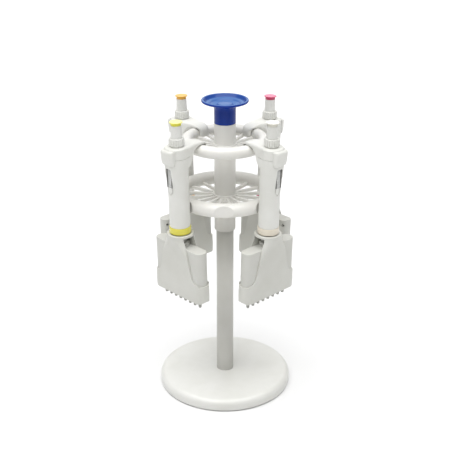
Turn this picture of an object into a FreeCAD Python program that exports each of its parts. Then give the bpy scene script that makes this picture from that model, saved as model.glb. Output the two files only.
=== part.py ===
import FreeCAD, Part
import math
import os
import Sketcher
from FreeCAD import Placement, Rotation, Vector

# A carousel stand that carries four eight-channel pipettes.
# Origin: bottom centre of the base. +Z is up, the stand's free notch faces -Y.
# Each pipette is drawn upright in a frame of its own: its axis is Z, its nozzle tips are at
# height 0, +X points away from the post, and a Placement then hangs it on the stand.

driving = {
    # base
    "base_radius": 87.4,
    "base_height": 16.0,
    "base_wall": 3.0,
    "base_lift": 1.0,
    "base_round": 7.5,
    "foot_radius": 9.0,
    "foot_height": 2.0,
    "foot_circle": 66.0,
    "bolt_radius": 4.0,
    "bolt_head_radius": 7.5,
    "bolt_head_height": 5.0,
    # post and carousel tube
    "post_radius": 11.15,
    "post_wall": 1.8,
    "post_top": 352.0,
    "plug_length": 30.0,
    "tube_radius": 13.5,
    "tube_wall": 1.75,
    "tube_bottom": 222.0,
    "tube_top": 364.0,
    "bush_flange": 1.5,
    "bush_length": 20.0,
    "running_gap": 0.05,
    "thrust_height": 5.9,
    # rings
    "lower_ring_radius": 58.7,
    "lower_ring_section": 8.8,
    "lower_ring_height": 270.5,
    "notch_radius": 24.0,
    "notch_depth_radius": 64.0,
    "upper_ring_radius": 48.0,
    "upper_ring_section": 7.5,
    "upper_ring_height": 340.3,
    "upper_spoke_height": 333.0,
    "spoke_width": 2.8,
    "spoke_depth": 6.0,
    "spoke_drop": 0.5,
    "hub_wall": 1.8,
    "hub_depth": 8.0,
    # knob
    "knob_radius": 29.3,
    "knob_height": 394.0,
    "knob_neck_height": 379.0,
    "knob_rim": 2.6,
    "knob_dome_radius": 11.0,
    "knob_dish": 6.6,
    # pipette body
    "hang_radius": 73.7,
    "hang_height": 146.0,
    "hang_tilt": 1.7,
    "body_radius": 12.85,
    "head_radius": 14.5,
    "head_shift": 1.6,
    "body_bottom": 103.0,
    "body_top": 206.5,
    "bore_radius": 11.3,
    "mouth_depth": 15.0,
    "seat_height": 27.0,
    "seam_height": 193.0,
    "free_gap": 0.35,
    # pipette window
    "window_width": 9.0,
    "window_bottom": 156.5,
    "window_top": 181.5,
    "window_round": 2.2,
    "window_floor": 12.3,
    # pipette controls
    "dial_radius": 9.5,
    "dial_bottom": 207.0,
    "dial_top": 217.0,
    "sleeve_radius": 8.0,
    "stem_radius": 6.65,
    "stem_top_radius": 6.25,
    "stem_top": 232.4,
    "button_radius": 8.0,
    "button_top": 236.8,
    "rod_radius": 2.5,
    "thumb_reach": 19.5,
    "thumb_width": 21.0,
    "thumb_bottom": 186.0,
    "thumb_top": 205.2,
    "push_rod_radius": 1.1,
    "push_rod_offset": 9.75,
    "arm_height": 3.0,
    "wire_radius": 0.5,
    "coil_radius": 4.3,
    # pipette lower end
    "neck_radius": 8.0,
    "ring_radius": 13.5,
    "ring_bottom": 94.9,
    "block_half_length": 42.2,
    "block_half_width": 8.35,
    "block_bottom": 12.3,
    "block_top": 78.0,
    "cover_half_length": 43.8,
    "cover_half_width": 10.0,
    "cover_wall": 1.25,
    "cover_bottom": 9.3,
    "cover_shoulder": 35.5,
    "cover_foot_round": 4.5,
    "cover_rim_radius": 16.1,
    "cover_top": 94.0,
    "collar_depth": 2.4,
    "nozzle_radius": 2.05,
    "nozzle_pitch": 9.0,
    "nozzle_seat": 9.0,
}
spoke_count = 16
notch_count = 8
foot_count = 4
channel_count = 8
rib_count = 24


class Length:
    """A size that carries its number and the sheet expression that gives it."""

    def __init__(self, value, text):
        self.value = value
        self.text = text

    def __add__(self, other):
        return Length(self.value + number(other), f"({self.text} + {expression(other)})")

    def __radd__(self, other):
        return self + other

    def __sub__(self, other):
        return Length(self.value - number(other), f"({self.text} - {expression(other)})")

    def __rsub__(self, other):
        return Length(number(other) - self.value, f"({expression(other)} - {self.text})")

    def __mul__(self, other):
        return Length(self.value * number(other), f"({self.text} * {expression(other)})")

    def __rmul__(self, other):
        return self * other

    def __truediv__(self, other):
        return Length(self.value / number(other), f"({self.text} / {expression(other)})")

    def __neg__(self):
        return Length(-self.value, f"(-1 * {self.text})")


def number(size):
    return size.value if isinstance(size, Length) else float(size)


def expression(size):
    return size.text if isinstance(size, Length) else f"({float(size)})"


class SizeSheet:
    """The document's spreadsheet, read by alias."""

    def __init__(self, document, values):
        self.values = values
        sheet = document.addObject("Spreadsheet::Sheet", "Sizes")
        for row, (word, value) in enumerate(values.items(), start=1):
            sheet.set(f"A{row}", word)
            sheet.set(f"B{row}", str(value))
            sheet.setAlias(f"B{row}", word)

    def __getattr__(self, word):
        return Length(self.values[word], f"Sizes.{word}")


doc = FreeCAD.newDocument("PipetteSet")
size = SizeSheet(doc, driving)
doc.recompute()
nodes = []


# Sketches and features ---------------------------------------------------------------------------

def new_body(label, placement=None):
    body = doc.addObject("PartDesign::Body", label)
    body.Label = label
    body.Placement = placement or Placement()
    nodes.append(body)
    return body


def origin_item(body, role):
    return next(item for item in body.Origin.OriginFeatures if item.Role == role)


def new_sketch(body, role, offset):
    sketch = body.newObject("Sketcher::SketchObject", f"{body.Label}_sketch")
    sketch.AttachmentSupport = [(origin_item(body, role), "")]
    sketch.MapMode = "FlatFace"
    if offset is not None:
        sketch.AttachmentOffset = Placement(Vector(0, 0, number(offset)), Rotation())
        sketch.setExpression("AttachmentOffset.Base.z", expression(offset))
    return sketch


def bind(sketch, rules):
    """Adds constraints given as (size or None, type, references...) and ties sizes to the sheet."""
    made = []
    for value, kind, *references in rules:
        if value is None:
            made.append(Sketcher.Constraint(kind, *references))
        else:
            made.append(Sketcher.Constraint(kind, *references, number(value)))
    first = sketch.addConstraint(made)[0]
    for index, (value, *_rest) in enumerate(rules):
        if isinstance(value, Length):
            sketch.setExpression(f"Constraints[{first + index}]", value.text)


def point_rules(geometry, point, x, y):
    rules = []
    for kind, value, axis in (("DistanceX", x, -2), ("DistanceY", y, -1)):
        if number(value) == 0:
            rules.append((None, "PointOnObject", geometry, point, axis))
        else:
            rules.append((value, kind, -1, 1, geometry, point))
    return rules


def polygon(body, role, corners, offset=None):
    sketch = new_sketch(body, role, offset)
    spots = [Vector(number(x), number(y), 0) for x, y in corners]
    count = len(spots)
    sketch.addGeometry([Part.LineSegment(spots[i], spots[(i + 1) % count]) for i in range(count)])
    rules = [(None, "Coincident", i, 2, (i + 1) % count, 1) for i in range(count)]
    for index, (x, y) in enumerate(corners):
        rules += point_rules(index, 1, x, y)
    bind(sketch, rules)
    return sketch


def circles(body, role, radius, centres=((0, 0),), offset=None):
    sketch = new_sketch(body, role, offset)
    rules = []
    for index, (x, y) in enumerate(centres):
        sketch.addGeometry(Part.Circle(Vector(number(x), number(y), 0), Vector(0, 0, 1), number(radius)))
        rules += point_rules(index, 3, x, y)
        rules.append((radius, "Radius", index))
    bind(sketch, rules)
    return sketch


def rounded_box(body, role, half_x, half_y, radius, offset=None, centre_y=0):
    """A rectangle with four round corners: lines 0, 2, 4, 6 and arcs 1, 3, 5, 7 between them."""
    sketch = new_sketch(body, role, offset)
    inner_x = half_x - radius
    inner_y = half_y - radius
    turn = number(radius)
    quarter = math.pi / 2
    corners = [(inner_x, -inner_y + centre_y), (inner_x, inner_y + centre_y),
               (-inner_x, inner_y + centre_y), (-inner_x, -inner_y + centre_y)]
    geometry = []
    for index, (x, y) in enumerate(corners):
        centre = Vector(number(x), number(y), 0)
        start = (index - 1) * quarter
        arc = Part.ArcOfCircle(Part.Circle(centre, Vector(0, 0, 1), turn), start, start + quarter)
        x_next, y_next = corners[(index + 1) % 4]
        out = Vector(math.cos(start + quarter), math.sin(start + quarter), 0) * turn
        following = Vector(number(x_next), number(y_next), 0)
        geometry += [arc, Part.LineSegment(centre + out, following + out)]
    sketch.addGeometry(geometry)
    rules = []
    for index, (x, y) in enumerate(corners):
        arc = 2 * index
        line = arc + 1
        rules.append((None, "Tangent", arc, 2, line, 1))
        rules.append((None, "Tangent", line, 2, (arc + 2) % 8, 1))
        rules += point_rules(arc, 3, x, y)
        rules.append((radius, "Radius", arc))
    bind(sketch, rules)
    return sketch


def feature(body, kind, profile, **settings):
    made = body.newObject(f"PartDesign::{kind}", f"{body.Label}_{kind.lower()}")
    made.Profile = profile
    for name, value in settings.items():
        if isinstance(value, Length):
            made.setExpression(name, value.text)
        else:
            setattr(made, name, value)
    return made


def extrude(body, profile, length, cut=False, middle=False, back=False):
    kind = "Pocket" if cut else "Pad"
    side = "Symmetric" if middle else "One side"
    return feature(body, kind, profile, SideType=side, Reversed=back, Length=length)


def spin(body, corners, cut=False):
    profile = polygon(body, "XZ_Plane", corners)
    kind = "Groove" if cut else "Revolution"
    return feature(body, kind, profile, ReferenceAxis=(profile, ["V_Axis"]), Angle=360.0)


def loft(body, profiles, cut=False, ruled=True):
    kind = "SubtractiveLoft" if cut else "AdditiveLoft"
    return feature(body, kind, profiles[0], Sections=profiles[1:], Ruled=ruled)


def repeat_round(body, source, count):
    pattern = body.newObject("PartDesign::PolarPattern", f"{body.Label}_pattern")
    pattern.Originals = [source]
    pattern.Axis = (origin_item(body, "Z_Axis"), [""])
    pattern.Angle = 360.0
    pattern.Occurrences = count
    body.Tip = pattern
    return pattern


def round_edges(body, base, radius, wanted):
    """Fillets every circular edge whose (radius, height) is in wanted."""
    doc.recompute()
    names = []
    for index, edge in enumerate(base.Shape.Edges, start=1):
        curve = edge.Curve
        if curve.TypeId != "Part::GeomCircle":
            continue
        for edge_radius, height in wanted:
            same_radius = abs(curve.Radius - number(edge_radius)) < 0.02
            if same_radius and abs(curve.Center.z - number(height)) < 0.02:
                names.append(f"Edge{index}")
    if not names:
        raise RuntimeError(f"{body.Label}: no edge to round")
    fillet = body.newObject("PartDesign::Fillet", f"{body.Label}_fillet")
    fillet.Base = (base, names)
    fillet.setExpression("Radius", expression(radius))


# Stand --------------------------------------------------------------------------------------------

def make_base():
    cover = new_body("base_cover")
    inside = size.base_radius - size.base_wall
    ceiling = size.base_height - size.base_wall
    hole = size.post_radius + size.running_gap
    shell = spin(cover, [(hole, size.base_height), (size.base_radius, size.base_height),
                         (size.base_radius, size.base_lift), (inside, size.base_lift),
                         (inside, ceiling), (hole, ceiling)])
    round_edges(cover, shell, size.base_round, [(size.base_radius, size.base_height)])

    weight = new_body("base_weight")
    head_room = size.bolt_head_radius + 1.5
    recess = size.foot_height + size.bolt_head_height + 0.6
    bolt_hole = size.bolt_radius + size.free_gap
    spin(weight, [(bolt_hole, recess), (head_room, recess), (head_room, size.foot_height),
                  (inside - 0.4, size.foot_height), (inside - 0.4, ceiling), (bolt_hole, ceiling)])

    feet = new_body("base_feet")
    feet.AllowCompound = True
    spot = size.foot_circle / math.sqrt(2)
    places = [(spot, spot), (-spot, spot), (-spot, -spot), (spot, -spot)]
    extrude(feet, circles(feet, "XY_Plane", size.foot_radius, places), size.foot_height)

    bolt = new_body("base_bolt")
    head_base = size.foot_height + 0.6
    shank_top = ceiling + size.plug_length - 8
    spin(bolt, [(0, head_base), (size.bolt_head_radius, head_base), (size.bolt_head_radius, recess),
                (size.bolt_radius, recess), (size.bolt_radius, shank_top), (0, shank_top)])
    socket = circles(bolt, "XY_Plane", size.bolt_radius * 0.8)
    extrude(bolt, socket, size.foot_height + 3.5, cut=True, back=True)


def make_post():
    floor = size.base_height - size.base_wall
    inside = size.post_radius - size.post_wall
    post = new_body("post")
    spin(post, [(inside, floor), (size.post_radius, floor), (size.post_radius, size.post_top),
                (inside, size.post_top)])

    plug = new_body("post_plug")
    thread = size.bolt_radius + size.running_gap
    spin(plug, [(thread, floor), (inside, floor), (inside, floor + size.plug_length),
                (0, floor + size.plug_length), (0, floor + size.plug_length - 4),
                (thread, floor + size.plug_length - 4)])

    cap = new_body("thrust_cap")
    crown = size.post_top + size.thrust_height
    spin(cap, [(0, size.post_top - 10), (inside, size.post_top - 10), (inside, size.post_top),
               (size.post_radius, size.post_top), (size.post_radius, size.post_top + 2.5),
               (5, size.post_top + 3), (2.5, crown - 0.5), (0, crown)])


def make_carousel_tube():
    inside = size.tube_radius - size.tube_wall
    bore = size.post_radius + size.running_gap
    lower_shelf = size.tube_bottom + size.bush_flange
    upper_shelf = size.tube_top - size.bush_flange
    tube = new_body("carousel_tube")
    spin(tube, [(inside, lower_shelf), (size.tube_radius, lower_shelf),
                (size.tube_radius, upper_shelf), (inside, upper_shelf)])

    bushes = new_body("carousel_bushes")
    bushes.AllowCompound = True
    for end, shelf, sleeve_end in (
            (size.tube_bottom, lower_shelf, size.tube_bottom + size.bush_length),
            (size.tube_top, upper_shelf, size.tube_top - size.bush_length)):
        rim = size.tube_radius - 0.4
        lip = (end + shelf) / 2
        spin(bushes, [(bore, end), (rim, end), (size.tube_radius, lip), (size.tube_radius, shelf),
                      (inside, shelf), (inside, sleeve_end), (bore, sleeve_end)])


def make_ring(label, ring_radius, section, height, spoke_height, notched):
    # turned half a step, so that a gap between two spokes faces forward
    half_step = 180.0 / spoke_count
    ring = new_body(label, Placement(Vector(), Rotation(Vector(0, 0, 1), half_step)))
    profile = circles(ring, "XZ_Plane", section, [(ring_radius, height)])
    feature(ring, "Revolution", profile, ReferenceAxis=(profile, ["V_Axis"]), Angle=360.0)
    if notched:
        centre = size.notch_depth_radius + size.notch_radius
        bearing = math.radians(half_step)
        spot = (centre * math.cos(bearing), -centre * math.sin(bearing))
        scallop = circles(ring, "XY_Plane", size.notch_radius, [spot], height)
        cut = extrude(ring, scallop, section * 2.4, cut=True, middle=True)
        repeat_round(ring, cut, notch_count)
    hub_radius = size.tube_radius + size.hub_wall
    hub_low = spoke_height - size.hub_depth / 2
    hub_high = spoke_height + size.hub_depth / 2
    spin(ring, [(size.tube_radius, hub_low), (hub_radius, hub_low), (hub_radius, hub_high),
                (size.tube_radius, hub_high)])
    reach = ring_radius - section * 0.55
    start = size.tube_radius + size.hub_wall / 2
    half = size.spoke_width / 2
    low = spoke_height - size.spoke_depth / 2
    spoke = polygon(ring, "XY_Plane", [(start, -half), (reach, -half), (reach, half), (start, half)],
                    low)
    bar = extrude(ring, spoke, size.spoke_depth)
    doc.recompute()
    repeat_round(ring, bar, spoke_count)


def make_knob():
    knob = new_body("knob")
    post_room = size.post_top + size.thrust_height + 0.1
    plug_radius = size.post_radius - 0.1
    rim_low = size.knob_height - size.knob_rim
    dish = size.knob_height - size.knob_dish
    body = spin(knob, [
        (0, post_room), (plug_radius, post_room), (plug_radius, size.tube_top),
        (size.tube_radius, size.tube_top), (size.tube_radius, size.knob_neck_height),
        (size.tube_radius + 2.2, rim_low - 6.2), (size.tube_radius + 6.6, rim_low - 2.6),
        (size.knob_radius - 3, rim_low - 0.7), (size.knob_radius, rim_low),
        (size.knob_radius, size.knob_height), (size.knob_radius - 1.9, size.knob_height),
        (size.knob_radius - 7.6, dish + 2.6), (size.knob_radius - 13.4, dish + 0.7),
        (size.knob_dome_radius, dish), (size.knob_dome_radius * 0.6, dish + 1.3), (0, dish + 1.8)])
    round_edges(knob, body, 0.8, [(size.knob_radius, size.knob_height), (size.knob_radius, rim_low)])


# Pipette ------------------------------------------------------------------------------------------

def make_handle(name, place):
    handle = new_body(f"{name}_handle", place)
    # finger hook: its side profile, then its outline from above
    top = size.body_top
    ring_x = -31.45
    ring_z = 193.45
    throat = ring_z + size.upper_ring_section + size.free_gap
    side = [(0, top), (-24, top - 0.4), (-35, top - 1.1), (-40.5, top - 2.6), (-43.2, top - 5.6),
            (-43.9, top - 10), (-43.3, 191.6), (-42.4, 190.8), (-41.4, 190.9),
            (-41.0, throat - 4.5), (-39.6, throat - 1.4), (-36.5, throat), (-28, throat),
            (-22.8, throat - 1.4), (-18.6, throat - 4.6), (-15.2, throat - 9.4),
            (-12.6, throat - 15.5), (0, throat - 15.5)]
    extrude(handle, polygon(handle, "XZ_Plane", side), 28, middle=True)
    # the hook narrows from the head's width to a rounded beak
    width = size.head_radius - 0.6
    for turn in (1, -1):
        trim = [(2, width * turn), (-8, width * turn), (-16, 10.6 * turn), (-25, 9.2 * turn),
                (ring_x - 6, 8.7 * turn), (-41.6, 7.4 * turn), (-43.4, 5.2 * turn),
                (-44.4, 2.2 * turn), (-48, 2.2 * turn), (-48, 20 * turn), (2, 20 * turn)]
        extrude(handle, polygon(handle, "XY_Plane", trim, top + 2), 40, cut=True)
    # barrel: round sections that grow and shift outwards towards the head
    waist = size.body_bottom + 47
    head = size.window_top - 7
    sections = [
        (size.body_bottom, size.body_radius, 0),
        (waist, size.body_radius, 0),
        (waist + 12, size.body_radius + 0.45, 0.4),
        (head, size.head_radius - 0.3, size.head_shift - 0.2),
        (size.seam_height, size.head_radius, size.head_shift),
        (top - 1.6, size.head_radius, size.head_shift),
        (top - 0.4, size.head_radius - 0.5, size.head_shift),
        (top, size.head_radius - 1.5, size.head_shift),
    ]
    for (low, low_radius, low_shift), (high, high_radius, high_shift) in zip(sections, sections[1:]):
        loft(handle, [circles(handle, "XY_Plane", low_radius, [(low_shift, 0)], low),
                      circles(handle, "XY_Plane", high_radius, [(high_shift, 0)], high)])
    # spigot that holds the coloured ring, and the bores for everything inside
    spigot = size.ring_radius - 1.5
    mouth = size.neck_radius + 2.6
    base = size.ring_bottom + 0.3
    spin(handle, [(mouth, base), (spigot, base), (spigot, size.body_bottom + 2),
                  (mouth, size.body_bottom + 2)])
    guide = size.neck_radius + size.running_gap
    guide_low = size.body_bottom + size.mouth_depth
    guide_high = guide_low + 6
    seat_low = size.body_bottom + size.seat_height
    seat_high = seat_low + 3
    rod_hole = size.rod_radius + size.free_gap
    ceiling = top - 6.5
    sleeve = size.sleeve_radius + size.running_gap
    spin(handle, [(0, base - 1), (mouth, base - 1), (mouth, guide_low), (guide, guide_low),
                  (guide, guide_high), (size.bore_radius, guide_high), (size.bore_radius, seat_low),
                  (rod_hole, seat_low), (rod_hole, seat_high), (size.bore_radius, seat_high),
                  (size.bore_radius, ceiling), (sleeve, ceiling), (sleeve, top + 1), (0, top + 1)],
         cut=True)
    # hole for the ejector's push rod through both inner walls
    rod = circles(handle, "XY_Plane", size.push_rod_radius + 0.3, [(0, size.push_rod_offset)],
                  seat_high + 1)
    extrude(handle, rod, seat_high - size.body_bottom, cut=True)
    # slot for the ejector's arm, behind the thumb piece
    slot_low = size.thumb_bottom + 1.6
    slot = polygon(handle, "XZ_Plane", [(8, slot_low), (18, slot_low), (18, ceiling - 0.4),
                                        (8, ceiling - 0.4)])
    extrude(handle, slot, 7, cut=True, middle=True)
    # window: a shallow recess with rounded corners and an opening through its floor
    middle = (size.window_bottom + size.window_top) / 2
    tall = (size.window_top - size.window_bottom) / 2
    half = size.window_width / 2
    recess = rounded_box(handle, "YZ_Plane", half, tall, size.window_round, size.window_floor, middle)
    extrude(handle, recess, 6, cut=True, back=True)
    opening = rounded_box(handle, "YZ_Plane", half - 1.2, tall - 2.2, 1, size.window_floor + 1, middle)
    extrude(handle, opening, 6, cut=True)
    # pointed catch below the window, outlined by a groove
    low_point = size.window_bottom - 10.9
    shoulder = size.window_bottom - 5.5
    outer = [(-half, size.window_bottom + 0.5), (-half, shoulder), (0, low_point), (half, shoulder),
             (half, size.window_bottom + 0.5), (half - 0.9, size.window_bottom + 0.5),
             (half - 0.9, shoulder + 0.4), (0, low_point + 1.4), (-half + 0.9, shoulder + 0.4),
             (-half + 0.9, size.window_bottom + 0.5)]
    extrude(handle, polygon(handle, "YZ_Plane", outer, size.body_radius - 0.6), 5, cut=True, back=True)


def make_window(name, place):
    window = new_body(f"{name}_window", place)
    middle = (size.window_bottom + size.window_top) / 2
    tall = (size.window_top - size.window_bottom) / 2 - 0.1
    half = size.window_width / 2 - 0.1
    lens = rounded_box(window, "YZ_Plane", half, tall, size.window_round - 0.1, size.window_floor + 0.02,
                       middle)
    extrude(window, lens, 1.1)


def make_counter(name, place):
    drum = new_body(f"{name}_counter_drum", place)
    hole = size.rod_radius + size.free_gap
    rim = size.neck_radius + 0.4
    low = size.window_bottom + 4.5
    ring_height = 5.0
    groove = 0.5
    step = ring_height + groove
    corners = [(hole, low)]
    for ring in range(3):
        bottom = low + step * ring
        corners += [(rim, bottom), (rim, bottom + ring_height)]
        if ring < 2:
            corners += [(rim - 1.5, bottom + ring_height), (rim - 1.5, bottom + step)]
    corners.append((hole, low + step * 2 + ring_height))
    spin(drum, corners)


def make_dial(name, place):
    dial = new_body(f"{name}_dial", place)
    core = size.dial_radius - 0.45
    bore = size.stem_radius + size.free_gap
    tail = size.window_top + 2
    spin(dial, [(bore, tail), (size.sleeve_radius, tail), (size.sleeve_radius, size.dial_bottom),
                (core, size.dial_bottom), (core, size.dial_top - 0.8), (core - 0.8, size.dial_top),
                (bore, size.dial_top)])
    rib = circles(dial, "XY_Plane", 0.6, [(core - 0.15, 0)], size.dial_bottom + 0.4)
    bar = extrude(dial, rib, size.dial_top - size.dial_bottom - 1.6)
    doc.recompute()
    repeat_round(dial, bar, rib_count)


def make_plunger(name, place):
    low = size.body_top + 0.5
    plug_radius = size.stem_top_radius - 1.2
    rod_end = size.block_top - 18
    collar = size.window_bottom + 0.4
    plunger = new_body(f"{name}_plunger", place)
    spin(plunger, [
        (0, rod_end - 3), (6, rod_end - 3), (6, rod_end), (size.rod_radius, rod_end),
        (size.rod_radius, collar), (5.2, collar), (5.2, collar + 1.6), (size.rod_radius, collar + 1.6),
        (size.rod_radius, low), (size.stem_radius, low), (size.stem_radius, size.dial_top + 1),
        (size.stem_top_radius, size.stem_top), (plug_radius, size.stem_top),
        (plug_radius, size.stem_top + 2.6), (0, size.stem_top + 2.6)])

    button = new_body(f"{name}_button", place)
    flange = size.button_top - 1.2
    spin(button, [
        (0, size.stem_top + 2.6), (plug_radius, size.stem_top + 2.6), (plug_radius, size.stem_top),
        (size.stem_top_radius, size.stem_top), (size.stem_top_radius, flange - 0.3),
        (size.button_radius - 0.3, flange), (size.button_radius, flange + 0.5),
        (size.button_radius - 0.4, size.button_top), (size.button_radius - 2, size.button_top - 0.15),
        (0, size.button_top - 0.4)])

    spring = new_body(f"{name}_spring", place)
    seat = size.body_bottom + size.seat_height + 3
    wire = size.wire_radius
    coil = circles(spring, "XZ_Plane", wire, [(size.coil_radius, seat + wire + 0.05)])
    doc.recompute()
    feature(spring, "AdditiveHelix", coil, ReferenceAxis=(coil, ["V_Axis"]), Mode="height-turns-angle",
            Height=collar - seat - wire * 2 - 0.1, Turns=6.0)


def make_ejector_button(name, place):
    thumb = new_body(f"{name}_ejector_button", place)
    reach = size.thumb_reach
    half = size.thumb_width / 2
    edge = size.head_shift + 8.2
    low = size.thumb_bottom
    high = size.thumb_top
    # a block that is longest at the top and draws in towards its lower edge
    side = [(edge, low + 2), (reach - 5, low), (reach - 2.4, low + 0.6), (reach - 1.3, low + 3),
            (reach, high - 4), (reach - 0.3, high - 2.2), (reach - 1.8, high - 0.8), (edge, high)]
    extrude(thumb, polygon(thumb, "XZ_Plane", side), size.thumb_width, middle=True)
    for turn in (1, -1):
        corner = [(edge, half * turn), (reach - 6.5, half * turn), (reach - 3.2, (half - 1.1) * turn),
                  (reach - 1.1, (half - 3.4) * turn), (reach, (half - 6.5) * turn),
                  (reach + 2, (half - 6.5) * turn), (reach + 2, (half + 2) * turn),
                  (edge, (half + 2) * turn)]
        extrude(thumb, polygon(thumb, "XY_Plane", corner, high + 2), 22, cut=True)
    hollow = circles(thumb, "XY_Plane", size.head_radius + size.free_gap, [(size.head_shift, 0)], high + 2)
    extrude(thumb, hollow, 22, cut=True)
    # arm through the slot, yoke round the dial's sleeve, and push rod down to the cover's collar
    arm_low = size.body_top - 12.5
    arm_high = arm_low + size.arm_height
    arm = polygon(thumb, "XZ_Plane", [(9.6, arm_low), (reach - 2.5, arm_low), (reach - 2.5, arm_high),
                                      (9.6, arm_high)])
    extrude(thumb, arm, 6, middle=True)
    yoke_inner = size.sleeve_radius + 0.4
    yoke_outer = size.bore_radius - 0.4
    spin(thumb, [(yoke_inner, arm_low), (yoke_outer, arm_low), (yoke_outer, arm_high),
                 (yoke_inner, arm_high)])
    foot = size.cover_top + 18.2
    rod = circles(thumb, "XY_Plane", size.push_rod_radius, [(0, size.push_rod_offset)], foot)
    extrude(thumb, rod, arm_low - foot + 1)


def make_collar_ring(name, place):
    ring = new_body(f"{name}_collar_ring", place)
    inside = size.ring_radius - 1.5
    top = size.body_bottom - 0.02
    spin(ring, [(inside, size.ring_bottom), (size.ring_radius - 0.3, size.ring_bottom),
                (size.ring_radius, size.ring_bottom + 0.4), (size.ring_radius, top - 0.4),
                (size.ring_radius - 0.3, top), (inside, top)])


def nozzle_spots():
    first = size.nozzle_pitch * (1 - channel_count) / 2
    return [(0, first + size.nozzle_pitch * channel) for channel in range(channel_count)]


def make_manifold(name, place):
    block = new_body(f"{name}_manifold", place)
    height = size.block_top - size.block_bottom
    extrude(block, rounded_box(block, "XY_Plane", size.block_half_width, size.block_half_length, 7.6,
                               size.block_bottom), height)
    neck_top = size.body_bottom + 22
    shoulder = size.block_top + 5.4
    rod_hole = size.rod_radius + size.free_gap
    spin(block, [(rod_hole, size.block_top - 2), (7.5, size.block_top - 2), (7.5, size.block_top),
                 (11, size.block_top), (11, shoulder - 1), (10, shoulder), (size.neck_radius, shoulder),
                 (size.neck_radius, neck_top), (rod_hole, neck_top)])
    chamber = size.block_top - 40
    spin(block, [(0, chamber), (6.5, chamber), (6.5, size.block_top - 2), (rod_hole, size.block_top - 2),
                 (rod_hole, neck_top + 1), (0, neck_top + 1)], cut=True)
    extrude(block, circles(block, "XY_Plane", size.nozzle_radius, nozzle_spots(), size.block_bottom),
            size.nozzle_seat + 1, cut=True, back=True)
    # small vent near each end, on the side that faces the post
    wing = size.block_half_length - 4
    vents = [(wing, size.block_top - 7), (-wing, size.block_top - 7)]
    extrude(block, circles(block, "YZ_Plane", 1.3, vents, -size.block_half_width), 5, cut=True, back=True)


def make_cover(name, place):
    cover = new_body(f"{name}_ejector_cover", place)
    wall = size.cover_wall
    long = size.cover_half_length
    wide = size.cover_half_width
    rim = size.cover_rim_radius
    corner = 9.0
    waist = size.cover_shoulder + 27

    def section(inset, height, half_width, half_length, radius):
        return rounded_box(cover, "XY_Plane", half_width - inset, half_length - inset, radius - inset,
                           height)

    extrude(cover, section(0, size.cover_bottom, wide, long, corner),
            size.cover_shoulder - size.cover_bottom)
    collar_low = size.cover_top - size.collar_depth
    plate_top = collar_low - 0.3
    levels = [(size.cover_shoulder, wide, long, corner), (waist, wide + 0.7, 32.0, corner),
              (size.block_top, wide + 3.1, 22.0, 10.5), (size.cover_top - 6, rim - 0.7, 16.6, 14.0),
              (size.cover_top, rim, rim, rim - 0.1)]
    for (low, *low_sizes), (high, *high_sizes) in zip(levels, levels[1:]):
        loft(cover, [section(0, low, *low_sizes), section(0, high, *high_sizes)])
    # hollow from the floor up to the collar
    floor = size.cover_bottom + 1.4
    extrude(cover, section(wall, floor, wide, long, corner), size.cover_shoulder - floor, cut=True,
            back=True)
    for (low, *low_sizes), (high, *high_sizes) in zip(levels[:-2], levels[1:-1]):
        loft(cover, [section(wall, low, *low_sizes), section(wall, high, *high_sizes)], cut=True)
    spin(cover, [(0, size.cover_top - 6), (rim - 0.7 - wall - 1.2, size.cover_top - 6),
                 (rim - wall - 1.2, collar_low), (0, collar_low)], cut=True)
    # the skirt's lower corners are rounded off
    low = size.cover_bottom
    foot = size.cover_foot_round
    for turn in (1, -1):
        corner_cut = [((long - foot) * turn, low - 1), ((long - foot) * turn, low),
                      ((long - foot * 0.3) * turn, low + foot * 0.3), (long * turn, low + foot),
                      ((long + 1) * turn, low + foot), ((long + 1) * turn, low - 1)]
        extrude(cover, polygon(cover, "YZ_Plane", corner_cut), 60, cut=True, middle=True)
    # both ends are cut away beside the plates, down to the skirt
    for turn in (1, -1):
        away = [(15.6 * turn, plate_top), (20.0 * turn, size.block_top - 2),
                (28.0 * turn, size.cover_shoulder + 6), (30.2 * turn, size.cover_shoulder + 1.9),
                (34.5 * turn, size.cover_shoulder), (60.0 * turn, size.cover_shoulder),
                (60.0 * turn, plate_top)]
        extrude(cover, polygon(cover, "YZ_Plane", away), 60, cut=True, middle=True)
    side = size.block_half_width + 0.1
    passage = [(-side, size.cover_shoulder - 2), (side, size.cover_shoulder - 2), (side, plate_top),
               (-side, plate_top)]
    extrude(cover, polygon(cover, "XZ_Plane", passage), 120, cut=True, middle=True)
    # collar with the inner sleeve that the push rod presses on
    bore = size.neck_radius + 0.3
    sleeve = size.neck_radius + 2.2
    lip = size.cover_top - 0.6
    extrude(cover, circles(cover, "XY_Plane", bore, offset=size.cover_top + 20), 40, cut=True)
    spin(cover, [(bore, collar_low), (sleeve, collar_low), (sleeve, size.cover_top + 18),
                 (bore, size.cover_top + 18)])
    spin(cover, [(sleeve, lip), (size.ring_radius + 0.4, lip), (size.ring_radius + 0.4, size.cover_top + 1),
                 (sleeve, size.cover_top + 1)], cut=True)
    holes = circles(cover, "XY_Plane", size.nozzle_radius + 0.4, nozzle_spots(), size.cover_bottom - 1)
    extrude(cover, holes, 4, cut=True, back=True)


def make_nozzles(name, place):
    nozzles = new_body(f"{name}_nozzles", place)
    nozzles.AllowCompound = True
    seats = nozzle_spots()
    top = size.block_bottom + size.nozzle_seat
    shank = size.nozzle_radius - 0.02
    extrude(nozzles, circles(nozzles, "XY_Plane", shank - 0.3, seats), 1)
    extrude(nozzles, circles(nozzles, "XY_Plane", shank, seats, 1), top - 1)
    extrude(nozzles, circles(nozzles, "XY_Plane", 0.7, seats, -1), top + 2, cut=True, back=True)


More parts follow.
